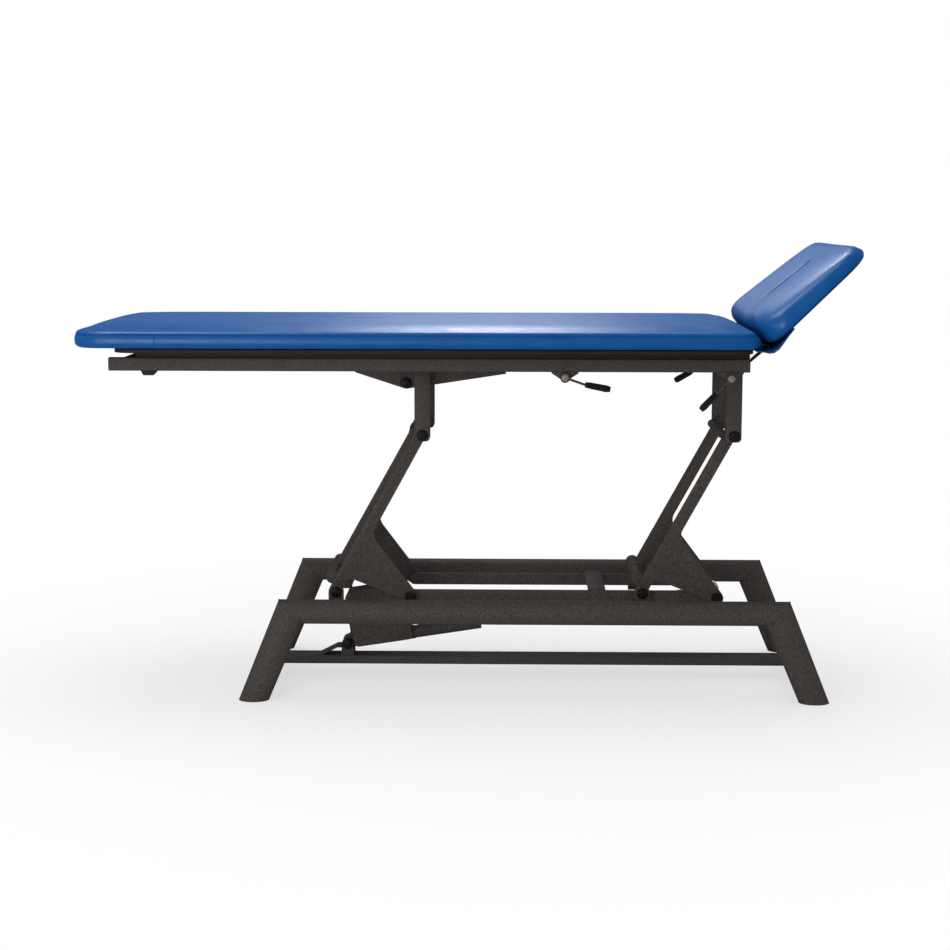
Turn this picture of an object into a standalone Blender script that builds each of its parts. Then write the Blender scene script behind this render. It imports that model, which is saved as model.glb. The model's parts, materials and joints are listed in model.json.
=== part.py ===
"""Height-adjustable treatment table with a tilting head section.

Metres, +Z up, floor at z = 0, long side along X, head section at +X.
Everything is laid out about the middle of the base, then slid along X so that
the middle of the whole table's box stands at the origin.
"""
import math

import bmesh
import bpy
from mathutils import Matrix, Vector
from mathutils.geometry import tessellate_polygon

GAP = 0.0003

# base frame: two bent rails with splayed legs
RAIL_Y = 0.2815
RAIL_DEPTH = 0.060
RAIL_TOP = 0.250
RAIL_LOW = 0.1905
CORNER_OUT = 0.622
CORNER_IN = 0.567
FOOT_X = 0.6856
FOOT_WIDTH = 0.0745
BASE_WALL = 0.003
STRETCHER_LOW = 0.030
STRETCHER_TOP = 0.052
STRETCHER_WIDTH = 0.040
SPINE_WIDTH = 0.060

# lifting linkage, side view positions of its pivots
PIVOT_LEFT = (-0.4946, 0.2411)
PIVOT_SPAN = 0.7685
ARM = (0.2183, 0.3994)
CRANK = (0.187, -0.0132)
STUD = 0.006
PIN_PLAY = 0.0004
HOLE = STUD + PIN_PLAY
BOLT_HEAD = 0.011
BOLT_TALL = 0.006
PLATE = 0.012
SIDE_PLAY = 0.0005
TIE_IN = 0.107
TIE_OUT = TIE_IN + PLATE
ARM_IN = TIE_OUT + SIDE_PLAY
ARM_OUT = ARM_IN + PLATE
EAR_HALF = 0.019
EAR_THICK = 0.008
EAR_IN = ARM_OUT + SIDE_PLAY
EAR_OUT = EAR_IN + EAR_THICK
POST_WIDTH = 0.038
POST_OUT = EAR_IN + POST_WIDTH
CRANK_BOLT_FACE = ARM_OUT + GAP
CRANK_BOLT_END = ARM_OUT + 0.0075
BRACE_HALF = 0.015
TORQUE_RADIUS = 0.017
CROSS_RADIUS = 0.011
TIE_HALF = 0.0152
TIE_WIDTH = 0.030
TIE_SPACER_BACK = 0.3009

# electric actuator under the table
ACTUATOR_PIN = (-0.476, 0.083)
HOUSING_HALF = 0.032
HOUSING_START = 0.0175
HOUSING_LOW = -0.012
HOUSING_TOP = 0.1345
LUG_RADIUS = 0.014
RIB_START = 0.0115
RIB_LOW = 0.0225
LUG_HALF = 0.018
CLEVIS_RADIUS = 0.0145
CLEVIS_FOOT = 0.018
STRAP_REACH = 0.074
STRAP_HALF = 0.0225
STRAP_THICK = 0.005
TUBE_START = 0.169
TUBE_END = 0.347
TUBE_RADIUS = 0.0165
TUBE_BORE = 0.0145
ROD_RADIUS = 0.008
ROD_START = 0.285

# upper frame; its head end stands off the right posts and carries the hinge
PAD_HALF = 0.343
FRAME_INSET = 0.088
FRAME_Y = PAD_HALF - FRAME_INSET
FRAME_WIDTH = 0.025
FRAME_LOW = 0.805
FRAME_HEIGHT = 0.032
FRAME_TOP = FRAME_LOW + FRAME_HEIGHT
FRAME_WALL = 0.002
FOOT_BAR_IN = 0.051
TUBE_CORNER = 0.004
CROSSBAR_HALF = 0.019
TOP_LEFT = (PIVOT_LEFT[0] + ARM[0], PIVOT_LEFT[1] + ARM[1])
TOP_RIGHT = (TOP_LEFT[0] + PIVOT_SPAN, TOP_LEFT[1])
POST_BACK = 0.0017
POST_FOOT = 0.015
FRAME_BEYOND = 0.0248
FRAME_HEAD = TOP_RIGHT[0] + FRAME_BEYOND
STRIP_HEIGHT = 0.015
STRIP_WIDTH = 0.020
STRIP_SET = 0.004
BOARD_LOW = FRAME_TOP + STRIP_HEIGHT
BOARD_THICK = 0.010
BOARD_TOP = BOARD_LOW + BOARD_THICK

# hinge of the head section
HINGE_REACH = 0.035
HINGE_RISE = 0.0045
HINGE = (FRAME_HEAD + HINGE_REACH, BOARD_TOP + HINGE_RISE)
HEAD_TILT = 44.5

# upholstery
PAD_LENGTH = 1.6525
PAD_SHY = 0.0075
PAD_HEAD = HINGE[0] - PAD_SHY
PAD_FOOT = PAD_HEAD - PAD_LENGTH
PAD_SIDE = 0.034
PAD_CROWN = 0.026
PAD_CORNER = 0.070
FOOT_OVERHANG = 0.077
FRAME_FOOT = PAD_FOOT + FOOT_OVERHANG
BOARD_INSET = 0.025
BOARD_CORNER = 0.050
BOARD_FOOT = FRAME_FOOT + 0.020
BOARD_HEAD = HINGE[0] - 0.031

# head section, modelled flat about its hinge and then tilted up
HEAD_START = 0.008
HEAD_END = 0.324
HEAD_BOTTOM = BOARD_TOP - HINGE[1]
HEAD_CROWN = (0.056, 0.031)
HEAD_BOARD_END = 0.285
HEAD_BAR = (0.0165, 0.0297)
SLIT = (0.085, 0.250)
SLIT_DEPTH = 0.021

FINISH = {
    "frame": ((0.060, 0.055, 0.052), 0.55, 0.35),
    "bolt": ((0.012, 0.011, 0.011), 0.40, 0.60),
    "vinyl": ((0.010, 0.090, 0.330), 0.35, 0.0),
    "board": ((0.032, 0.024, 0.018), 0.70, 0.0),
    "rubber": ((0.010, 0.010, 0.010), 0.60, 0.0),
    "steel": ((0.420, 0.400, 0.380), 0.30, 0.90),
}

for old in list(bpy.data.objects):
    bpy.data.objects.remove(old, do_unlink=True)


def add(p, q):
    return (p[0] + q[0], p[1] + q[1])


def circle(centre, radius, steps=24, start=0.0, end=360.0):
    """Points round a circle, or along an arc with both ends included."""
    whole = abs(end - start) >= 360.0
    count = steps if whole else steps + 1
    ring = []
    for i in range(count):
        a = math.radians(start + (end - start) * i / steps)
        ring.append((centre[0] + radius * math.cos(a), centre[1] + radius * math.sin(a)))
    return ring


def rounded(corners, steps=5):
    """Outline through (a, b, radius) corners, each rounded with its own radius."""
    outline = []
    for i, (px, pz, radius) in enumerate(corners):
        p = Vector((px, pz))
        before = Vector(corners[i - 1][:2])
        after = Vector(corners[(i + 1) % len(corners)][:2])
        if radius <= 0.0:
            outline.append((px, pz))
            continue
        d0 = (before - p).normalized()
        d1 = (after - p).normalized()
        half = d0.angle(d1) / 2
        reach = radius / math.tan(half)
        centre = p + (d0 + d1).normalized() * radius / math.sin(half)
        a0 = (p + d0 * reach) - centre
        a1 = (p + d1 * reach) - centre
        t0 = math.atan2(a0.y, a0.x)
        turn = math.atan2(a1.y, a1.x) - t0
        turn = (turn + math.pi) % (2 * math.pi) - math.pi
        for k in range(steps + 1):
            t = t0 + turn * k / steps
            outline.append((centre.x + radius * math.cos(t), centre.y + radius * math.sin(t)))
    return outline


def rectangle(a0, a1, b0, b1, radius=0.0, steps=4):
    return rounded([(a0, b0, radius), (a1, b0, radius), (a1, b1, radius), (a0, b1, radius)], steps)


def tangent(point, centre, radius, side):
    """Where the line from a point touches a circle, on its left (1) or right (-1) side."""
    dx = centre[0] - point[0]
    dz = centre[1] - point[1]
    dist = math.hypot(dx, dz)
    angle = math.atan2(dz, dx) + side * math.asin(radius / dist)
    reach = math.sqrt(dist * dist - radius * radius)
    return (point[0] + reach * math.cos(angle), point[1] + reach * math.sin(angle))


def bearing(centre, point):
    return math.degrees(math.atan2(point[1] - centre[1], point[0] - centre[0]))


def link_outline(p, q, end_p, end_q, width):
    """Outline of a straight bar of a given width with a round eye at each end."""
    along = bearing(p, q)
    spread_p = math.degrees(math.asin(width / 2 / end_p))
    spread_q = math.degrees(math.asin(width / 2 / end_q))
    far = circle(q, end_q, 16, along - 180 + spread_q, along + 180 - spread_q)
    near = circle(p, end_p, 16, along + spread_p, along + 360 - spread_p)
    return far + near


AXES = {
    "X": lambda a, b, c: (c, a, b),
    "Y": lambda a, b, c: (a, c, b),
    "Z": lambda a, b, c: (a, b, c),
}


def ring_verts(bm, points, level, axis):
    return [bm.verts.new(AXES[axis](a, b, level)) for a, b in points]


def bridge(bm, first, second):
    for i in range(len(first)):
        j = (i + 1) % len(first)
        bm.faces.new((first[i], first[j], second[j], second[i]))


def fill(bm, rings):
    """Flat face inside the first ring and outside the others."""
    verts = [v for ring in rings for v in ring]
    for a, b, c in tessellate_polygon([[v.co for v in ring] for ring in rings]):
        if len({a, b, c}) == 3:
            bm.faces.new((verts[a], verts[b], verts[c]))


def to_mesh(bm, name):
    bmesh.ops.recalc_face_normals(bm, faces=bm.faces)
    mesh = bpy.data.meshes.new(name)
    bm.to_mesh(mesh)
    bm.free()
    return mesh


def plate(outline, low, high, holes=(), bosses=(), axis="Y"):
    """Plate between two levels of an axis, with holes through it and bosses grown from its faces.

    A boss is a list of (level, outline) steps, the first of them on one of the plate's faces.
    """
    bm = bmesh.new()
    faces = {}
    for level in (low, high):
        faces[level] = [ring_verts(bm, outline, level, axis)]
    bridge(bm, faces[low][0], faces[high][0])
    for hole in holes:
        pair = [ring_verts(bm, hole, level, axis) for level in (low, high)]
        bridge(bm, pair[0], pair[1])
        faces[low].append(pair[0])
        faces[high].append(pair[1])
    for boss in bosses:
        last = ring_verts(bm, boss[0][1], boss[0][0], axis)
        faces[boss[0][0]].append(last)
        for level, points in boss[1:]:
            step = ring_verts(bm, points, level, axis)
            bridge(bm, last, step)
            last = step
        fill(bm, [last])
    fill(bm, faces[low])
    fill(bm, faces[high])
    return to_mesh(bm, "plate")


def loft(rings, inner=None, close_start=True, close_end=True):
    """Skin through rings of 3-D points; with inner rings it becomes a walled tube."""
    bm = bmesh.new()
    outer = [[bm.verts.new(p) for p in ring] for ring in rings]
    for first, second in zip(outer, outer[1:]):
        bridge(bm, first, second)
    if inner is None:
        fill(bm, [outer[0]])
        fill(bm, [outer[-1]])
        return to_mesh(bm, "loft")
    bore = [[bm.verts.new(p) for p in ring] for ring in inner]
    for first, second in zip(bore, bore[1:]):
        bridge(bm, first, second)
    for end, closed in ((0, close_start), (-1, close_end)):
        if closed:
            fill(bm, [outer[end]])
            fill(bm, [bore[end]])
        else:
            bridge(bm, outer[end], bore[end])
    return to_mesh(bm, "tube")


def lift(outline, level, axis):
    return [AXES[axis](a, b, level) for a, b in outline]


def box_tube(outer, inner, low, high, axis, close_start=False):
    """Straight tube of any section along an axis, with one end closed if asked."""
    bore_low = low + FRAME_WALL if close_start else low
    return loft([lift(outer, low, axis), lift(outer, high, axis)],
                [lift(inner, bore_low, axis), lift(inner, high, axis)],
                close_start, False)


def sweep(path, radii, steps=12, level=0.0):
    """Round bar along a path of (x, z) points at one depth y, with a radius for each point."""
    rings = []
    for i, (x, z) in enumerate(path):
        before = path[max(i - 1, 0)]
        after = path[min(i + 1, len(path) - 1)]
        run = Vector((after[0] - before[0], after[1] - before[1])).normalized()
        ring = []
        for k in range(steps):
            a = 2 * math.pi * k / steps
            side = radii[i] * math.cos(a)
            ring.append((x - run.y * side, level + radii[i] * math.sin(a), z + run.x * side))
        rings.append(ring)
    return rings


def joined(mesh, tool, operation="UNION"):
    """Mesh of one closed body made from two by an exact Boolean."""
    base = bpy.data.objects.new("base_of_union", mesh)
    cutter = bpy.data.objects.new("tool_of_union", tool)
    cutter.hide_render = True
    cutter.display_type = "WIRE"
    for obj in (base, cutter):
        bpy.context.scene.collection.objects.link(obj)
    step = base.modifiers.new("join", "BOOLEAN")
    step.operation = operation
    step.solver = "EXACT"
    step.object = cutter
    bpy.context.view_layer.update()
    done = bpy.data.meshes.new_from_object(base.evaluated_get(bpy.context.evaluated_depsgraph_get()))
    bpy.data.objects.remove(base, do_unlink=True)
    bpy.data.objects.remove(cutter, do_unlink=True)
    return done


def mirrored(mesh):
    """The same piece on the other side of the table's long middle plane."""
    other = mesh.copy()
    other.transform(Matrix.Scale(-1.0, 4, Vector((0, 1, 0))))
    other.flip_normals()
    return other


def node(name, mesh, finish, body=None):
    """Named piece with its own material, hung on the axis of the body it moves with."""
    colour, roughness, metallic = FINISH[finish]
    material = bpy.data.materials.new(f"{name}_{finish}")
    material.use_nodes = True
    shader = material.node_tree.nodes["Principled BSDF"]
    shader.inputs["Base Color"].default_value = (*colour, 1.0)
    shader.inputs["Roughness"].default_value = roughness
    shader.inputs["Metallic"].default_value = metallic
    mesh.name = name
    mesh.materials.clear()
    mesh.materials.append(material)
    obj = bpy.data.objects.new(name, mesh)
    bpy.context.scene.collection.objects.link(obj)
    if body is not None:
        mesh.transform(body["frame"].inverted())
        obj.parent = body["axis"]
    return obj


def axis_of(name, pivot, parent=None, tilt=0.0, depth=0.0):
    """Empty on a joint axis along Y; pieces of that body hang on it."""
    place = Matrix.Translation((pivot[0], depth, pivot[1]))
    empty = bpy.data.objects.new(name, None)
    empty.empty_display_size = 0.05
    bpy.context.scene.collection.objects.link(empty)
    if parent is not None:
        empty.parent = parent["axis"]
        empty.matrix_local = parent["frame"].inverted() @ place @ Matrix.Rotation(-tilt, 4, "Y")
    else:
        empty.matrix_local = place @ Matrix.Rotation(-tilt, 4, "Y")
    return {"axis": empty, "frame": place}


def pair(name, mesh, finish, body=None, end=""):
    other = mirrored(mesh)
    node(f"{name}_near{end}", mesh, finish, body)
    node(f"{name}_far{end}", other, finish, body)


# base rails and legs: one oval tube section, mitred where rail and leg meet
OVAL_STEPS = 28
MITRE = ((CORNER_OUT + CORNER_IN) / 2, (RAIL_TOP + RAIL_LOW) / 2)
MITRE_HALF = ((CORNER_OUT - CORNER_IN) / 2, (RAIL_TOP - RAIL_LOW) / 2)
MITRE_NORMAL = Vector((MITRE_HALF[1], -MITRE_HALF[0])).normalized()


def oval(side, centre, half, inset=0.0):
    """Ring of the near rail's section in a plane that holds the depth direction."""
    scale = 1.0 - inset / MITRE_HALF[1]
    depth = RAIL_DEPTH / 2 - inset
    ring = []
    for k in range(OVAL_STEPS):
        a = 2 * math.pi * k / OVAL_STEPS
        c = math.cos(a) * scale
        y = -RAIL_Y + depth * math.sin(a)
        ring.append((side * (centre[0] + half[0] * c), y, centre[1] + half[1] * c))
    return ring


rail = loft([oval(-1, MITRE, MITRE_HALF), oval(1, MITRE, MITRE_HALF)],
            [oval(-1, MITRE, MITRE_HALF, BASE_WALL), oval(1, MITRE, MITRE_HALF, BASE_WALL)], False, False)
pair("base_rail", rail, "frame")
leg_start = (MITRE[0] + GAP * MITRE_NORMAL.x, MITRE[1] + GAP * MITRE_NORMAL.y)
foot_half = (FOOT_WIDTH / 2, 0.0)
floor_inside = (leg_start[0] + (FOOT_X - leg_start[0]) * 0.985, leg_start[1] * 0.015)
for side, end in ((-1, "_left"), (1, "_right")):
    outside = [oval(side, leg_start, MITRE_HALF), oval(side, (FOOT_X, 0.0), foot_half)]
    inside = [oval(side, leg_start, MITRE_HALF, BASE_WALL), oval(side, floor_inside, foot_half, BASE_WALL)]
    leg = loft(outside, inside, False, True)
    pair("leg", leg, "frame", end=end)

# stretchers between the feet and the spine that carries the actuator
inner_face = RAIL_Y - RAIL_DEPTH / 2 - GAP
stretcher_mid = (STRETCHER_LOW + STRETCHER_TOP) / 2
stretcher_x = FOOT_X - (FOOT_X - MITRE[0]) * stretcher_mid / MITRE[1]
for side, end in ((-1, "left"), (1, "right")):
    low = side * stretcher_x - STRETCHER_WIDTH / 2
    high = side * stretcher_x + STRETCHER_WIDTH / 2
    bar = box_tube(rectangle(low, high, STRETCHER_LOW, STRETCHER_TOP, 0.004),
                   rectangle(low + 0.002, high - 0.002, STRETCHER_LOW + 0.002, STRETCHER_TOP - 0.002, 0.002),
                   -inner_face, inner_face, "Y")
    node(f"end_crossbar_{end}", bar, "frame")
spine_end = stretcher_x - STRETCHER_WIDTH / 2 - GAP
spine = box_tube(rectangle(-SPINE_WIDTH / 2, SPINE_WIDTH / 2, STRETCHER_LOW, STRETCHER_TOP, 0.004),
                 rectangle(-SPINE_WIDTH / 2 + 0.002, SPINE_WIDTH / 2 - 0.002,
                           STRETCHER_LOW + 0.002, STRETCHER_TOP - 0.002, 0.002),
                 -spine_end, spine_end, "X")
node("spine_bar", spine, "frame")

# ears that carry the lower pivots, welded to the rails by a tab
pivot_right = add(PIVOT_LEFT, (PIVOT_SPAN, 0.0))
TAB_HALF = EAR_HALF - 0.002
TAB_HEIGHT = 0.021
for pivot, end in ((PIVOT_LEFT, "_left"), (pivot_right, "_right")):
    low = RAIL_LOW + 0.0055
    outline = [(pivot[0] - EAR_HALF, low), (pivot[0] + EAR_HALF, low)] + circle(pivot, EAR_HALF, 14, 0, 180)
    tab_low = low + 0.0015
    tab = rectangle(pivot[0] - TAB_HALF, pivot[0] + TAB_HALF, tab_low, tab_low + TAB_HEIGHT, 0.002, 2)
    # the tab stops where the round rail begins
    ear = plate(outline, -EAR_OUT, -EAR_IN, bosses=[
        [(-EAR_IN, circle(pivot, STUD)), (-ARM_IN - GAP, circle(pivot, STUD))],
        [(-EAR_OUT, tab), (-inner_face, tab)],
        [(-EAR_OUT, circle(pivot, BOLT_HEAD, 6)), (-EAR_OUT - BOLT_TALL, circle(pivot, BOLT_HEAD, 6))],
    ])
    pair("pivot_bracket", ear, "frame", end=end)

# clevis on the spine for the actuator's rear eye
pin = ACTUATOR_PIN
clevis_out = SPINE_WIDTH / 2
clevis_in = LUG_HALF + SIDE_PLAY
clevis_floor = STRETCHER_TOP + 0.006
clevis_low = STRETCHER_TOP + GAP
clevis_top = pin[1] + 0.027
ears = plate([(-clevis_out, clevis_low), (clevis_out, clevis_low), (clevis_out, clevis_top),
              (clevis_in, clevis_top), (clevis_in, clevis_floor), (-clevis_in, clevis_floor),
              (-clevis_in, clevis_top), (-clevis_out, clevis_top)],
             pin[0] - CLEVIS_FOOT, pin[0] + CLEVIS_FOOT, axis="X")
profile = [(pin[0] - CLEVIS_FOOT, STRETCHER_LOW), (pin[0] + CLEVIS_FOOT, STRETCHER_LOW)]
profile = profile + circle(pin, CLEVIS_RADIUS, 14, -4, 184)
ears = joined(ears, plate(profile, -clevis_out - 0.02, clevis_out + 0.02), "INTERSECT")
# the pin's heads are let into the ears by half a millimetre
head_low = clevis_out - 0.0005
head_end = clevis_out + BOLT_TALL
bolt = loft([lift(circle(pin, radius), level, "Y") for level, radius in (
    (-head_end, BOLT_HEAD), (-head_low, BOLT_HEAD), (-head_low + 0.0001, STUD),
    (head_low - 0.0001, STUD), (head_low, BOLT_HEAD), (head_end, BOLT_HEAD))])
node("actuator_clevis", joined(ears, bolt), "frame")

# bent flat strap that holds the clevis against the actuator's thrust
strap_end = pin[0] - CLEVIS_RADIUS - 0.0011
strap_top = pin[1] - 0.007
strap = [(strap_end, strap_top), (pin[0] - 0.0275, strap_top), (pin[0] - STRAP_REACH, clevis_low),
         (pin[0] - STRAP_REACH + 0.0095, clevis_low), (pin[0] - 0.0265, strap_top - STRAP_THICK),
         (strap_end, strap_top - STRAP_THICK)]
node("clevis_brace", plate(strap[::-1], -STRAP_HALF, STRAP_HALF), "frame")

# lifting arms: a flat arm and its bell crank cut from one plate
arm_length = math.hypot(*ARM)
arm_dir = (ARM[0] / arm_length, ARM[1] / arm_length)


def on_arm(along, right):
    return (along * arm_dir[0] + right * arm_dir[1], along * arm_dir[1] - right * arm_dir[0])


CRANK_EYE = 0.0165
crank_low = tangent((0.138, -0.005), CRANK, CRANK_EYE, -1)
crank_high = tangent(on_arm(0.1687, 0.010), CRANK, CRANK_EYE, 1)
crank_eye = circle(CRANK, CRANK_EYE, 12, bearing(CRANK, crank_low), bearing(CRANK, crank_high))
arm_outline = rounded([
    (*on_arm(-0.016, -0.019), 0.014), (*on_arm(-0.016, 0.010), 0.009), (*on_arm(0.038, 0.010), 0.008),
    (0.039, 0.032, 0.003), (0.094, 0.010, 0.03), (0.138, -0.005, 0.03),
    *[(x, z, 0.0) for x, z in crank_eye],
    (*on_arm(0.1687, 0.010), 0.03), (*on_arm(arm_length + 0.016, 0.010), 0.009),
    (*on_arm(arm_length + 0.016, -0.019), 0.014)])

lift_left = axis_of("table_lift_axis", PIVOT_LEFT)
lift_right = axis_of("arm_right_axis", pivot_right)
TORQUE = (-0.010, 0.034)
UPPER = add(ARM, (-0.0252, 0.0005))
for body, pivot, end in ((lift_left, PIVOT_LEFT, "left"), (lift_right, pivot_right, "right")):
    outline = [add(pivot, p) for p in arm_outline]
    holes = [circle(pivot, HOLE), circle(add(pivot, ARM), HOLE), circle(add(pivot, CRANK), HOLE)]
    pair(f"arm_{end}", plate(outline, -ARM_OUT, -ARM_IN, holes), "frame", body)
    torque = add(pivot, TORQUE)
    upper = add(pivot, UPPER)
    bosses = []
    for side in (-1, 1):
        for centre, radius in ((torque, TORQUE_RADIUS), (upper, CROSS_RADIUS)):
            bosses.append([(side * BRACE_HALF, circle(centre, radius)),
                           (side * (ARM_IN - GAP), circle(centre, radius))])
    brace = link_outline(torque, upper, TORQUE_RADIUS + 0.0025, CROSS_RADIUS + 0.0025, 0.016)
    brace = plate(brace, -BRACE_HALF, BRACE_HALF, bosses=bosses)
    node(f"arm_{end}_crossframe", brace, "frame", body)
crank_left = add(PIVOT_LEFT, CRANK)
crank_right = add(pivot_right, CRANK)
shaft = loft([lift(circle(crank_right, radius), level, "Y") for level, radius in (
    (-CRANK_BOLT_END, BOLT_HEAD), (-CRANK_BOLT_FACE, BOLT_HEAD), (-CRANK_BOLT_FACE + 0.0001, STUD),
    (CRANK_BOLT_FACE - 0.0001, STUD), (CRANK_BOLT_FACE, BOLT_HEAD), (CRANK_BOLT_END, BOLT_HEAD))])
node("crank_shaft", shaft, "bolt", lift_right)

# tie bars that make both bell cranks turn together
tie_body = axis_of("tie_axis", crank_left, lift_left)
tie = plate(link_outline(crank_left, crank_right, TIE_HALF, TIE_HALF, TIE_WIDTH), -TIE_OUT, -TIE_IN,
            [circle(crank_right, HOLE)], [
    [(-TIE_OUT, circle(crank_left, STUD)), (-CRANK_BOLT_FACE, circle(crank_left, STUD)),
     (-CRANK_BOLT_FACE - 0.0001, circle(crank_left, BOLT_HEAD)),
     (-CRANK_BOLT_END, circle(crank_left, BOLT_HEAD))],
    [(-TIE_IN, circle(crank_left, BOLT_HEAD)), (-TIE_IN + 0.008, circle(crank_left, BOLT_HEAD))]])
pair("tie_bar", tie, "frame", tie_body)
tie_top = crank_left[1] + TIE_HALF
spacer_mid = crank_right[0] - TIE_SPACER_BACK
spacer = rectangle(spacer_mid - 0.022, spacer_mid + 0.022, tie_top + GAP, tie_top + 0.006)
spacer = plate(spacer, -TIE_OUT, TIE_OUT)
node("tie_spacer", spacer, "frame", tie_body)

# actuator: motor housing with its rear eye, guide tube and push rod
actuator = axis_of("actuator_axis", pin)
reach = math.hypot(crank_right[0] - pin[0], crank_right[1] - pin[1])
rod_dir = ((crank_right[0] - pin[0]) / reach, (crank_right[1] - pin[1]) / reach)


def on_rod(u, v):
    return (pin[0] + u * rod_dir[0] - v * rod_dir[1], pin[1] + u * rod_dir[1] + v * rod_dir[0])


block = rounded([(*on_rod(u, v), 0.012) for u, v in (
    (HOUSING_START, HOUSING_LOW), (TUBE_START, HOUSING_LOW), (TUBE_START, HOUSING_TOP),
    (HOUSING_START, HOUSING_TOP))])
# the eye runs up into a rib on the housing's rear face
lug = [on_rod(LUG_RADIUS * math.cos(math.radians(a)), LUG_RADIUS * math.sin(math.radians(a)))
       for a in range(140, 271, 13)]
rib_top = HOUSING_TOP - 0.010
lug = rounded([(*p, 0.0) for p in lug] + [
    (*on_rod(0.036, -0.0105), 0.0), (*on_rod(0.036, rib_top), 0.0), (*on_rod(RIB_START, rib_top), 0.010),
    (*on_rod(RIB_START, RIB_LOW), 0.003)])
lug = plate(lug, -LUG_HALF, LUG_HALF, [circle(pin, HOLE)])
housing = joined(plate(block, -HOUSING_HALF, HOUSING_HALF), lug)
node("actuator_housing", housing, "frame", actuator)


def rod_ring(u, radius, steps=20):
    ring = []
    for k in range(steps):
        a = 2 * math.pi * k / steps
        x, z = on_rod(u, radius * math.cos(a))
        ring.append((x, radius * math.sin(a), z))
    return ring


guide = loft([rod_ring(TUBE_START + GAP, TUBE_RADIUS), rod_ring(TUBE_END, TUBE_RADIUS)],
             [rod_ring(TUBE_START + 0.004, TUBE_BORE), rod_ring(TUBE_END, TUBE_BORE)], True, False)
node("actuator_tube", guide, "frame", actuator)
rod_body = axis_of("push_rod_axis", crank_right, lift_right)
rod_eye = plate(circle(crank_right, 0.018, 28), -0.012, 0.012, [circle(crank_right, HOLE)])
rod = joined(rod_eye, loft([rod_ring(ROD_START, ROD_RADIUS), rod_ring(reach - 0.012, ROD_RADIUS)]))
node("push_rod", rod, "steel", rod_body)

# upper frame: two side rails, three crossbars and four posts with the upper pivots
upper = axis_of("upper_frame_axis", TOP_LEFT, lift_left)
right_post = TOP_RIGHT[0] - POST_BACK
side_tube = box_tube(rectangle(-FRAME_Y, -FRAME_Y + FRAME_WIDTH, FRAME_LOW, FRAME_TOP, TUBE_CORNER),
                     rectangle(-FRAME_Y + FRAME_WALL, -FRAME_Y + FRAME_WIDTH - FRAME_WALL,
                               FRAME_LOW + FRAME_WALL, FRAME_TOP - FRAME_WALL, 0.002),
                     FRAME_FOOT, FRAME_HEAD, "X", True)
pair("frame_rail", side_tube, "frame", upper)
cross_end = FRAME_Y - FRAME_WIDTH - GAP
for x, end in ((FRAME_FOOT + FOOT_BAR_IN, "foot"), (TOP_LEFT[0], "left"), (right_post, "right")):
    cross = box_tube(rectangle(x - CROSSBAR_HALF, x + CROSSBAR_HALF, FRAME_LOW, FRAME_TOP, TUBE_CORNER),
                     rectangle(x - CROSSBAR_HALF + FRAME_WALL, x + CROSSBAR_HALF - FRAME_WALL,
                               FRAME_LOW + FRAME_WALL, FRAME_TOP - FRAME_WALL, 0.002),
                     -cross_end, cross_end, "Y")
    node(f"frame_crossbar_{end}", cross, "frame", upper)
for pivot, mid, end in ((TOP_LEFT, TOP_LEFT[0], "_left"), (TOP_RIGHT, right_post, "_right")):
    half = POST_WIDTH / 2
    outline = rounded([(mid - half, pivot[1] - POST_FOOT, 0.010), (mid + half, pivot[1] - POST_FOOT, 0.010),
                       (mid + half, FRAME_LOW - GAP, 0.0), (mid - half, FRAME_LOW - GAP, 0.0)])
    post = plate(outline, -POST_OUT, -EAR_IN, bosses=[
        [(-EAR_IN, circle(pivot, STUD)), (-ARM_IN - GAP, circle(pivot, STUD))],
        [(-POST_OUT, circle(pivot, BOLT_HEAD, 6)), (-POST_OUT - BOLT_TALL, circle(pivot, BOLT_HEAD, 6))],
    ])
    pair("post", post, "frame", upper, end)

# spacer strips and the plywood board that carries the main cushion
strip_y = -FRAME_Y + STRIP_SET
strip = plate(rectangle(strip_y, strip_y + STRIP_WIDTH, FRAME_TOP + GAP, BOARD_LOW),
              FRAME_FOOT + 0.067, FRAME_HEAD - 0.001, axis="X")
pair("spacer_strip", strip, "board", upper)
board_half = PAD_HALF - BOARD_INSET
board = plate(rectangle(BOARD_FOOT, BOARD_HEAD, -board_half, board_half, BOARD_CORNER, 8),
              BOARD_LOW + GAP, BOARD_TOP - GAP, axis="Z")
node("top_board", board, "board", upper)

# wedge brackets beside the foot-end posts
WEDGE_FOOT = TOP_LEFT[0] - 0.1677
WEDGE_LOW = (TOP_LEFT[0] - 0.0417, FRAME_LOW - 0.053)
WEDGE_HEAD = TOP_LEFT[0] + 0.2063
WEDGE_BOLT = 0.0088
wedge = rounded([(WEDGE_FOOT, FRAME_LOW - GAP, 0.0), (WEDGE_FOOT, FRAME_LOW - 0.012, 0.002),
                 (*WEDGE_LOW, 0.020), (WEDGE_HEAD, FRAME_LOW - 0.015, 0.002),
                 (WEDGE_HEAD, FRAME_LOW - GAP, 0.0)])
wedge_bolt = circle(add(WEDGE_LOW, (0.0, 0.015)), WEDGE_BOLT, 6)
wedge = plate(wedge, -EAR_IN + GAP, -EAR_IN + GAP + EAR_THICK, bosses=[
    [(-EAR_IN + GAP, wedge_bolt), (-EAR_IN - 0.004, wedge_bolt)]])
pair("wedge_bracket", wedge, "frame", upper)

# rubber bumpers under the foot end of the side rails
bumper_mid = FRAME_Y - FRAME_WIDTH / 2
bumper_x = FRAME_FOOT + 0.096
bumper_low = FRAME_LOW - 0.011
bumper = plate([(bumper_x - 0.018, FRAME_LOW - GAP), (bumper_x - 0.012, bumper_low),
                (bumper_x + 0.012, bumper_low), (bumper_x + 0.022, FRAME_LOW - GAP)],
               -bumper_mid - 0.010, -bumper_mid + 0.010)
pair("bumper", bumper, "rubber", upper)


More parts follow.
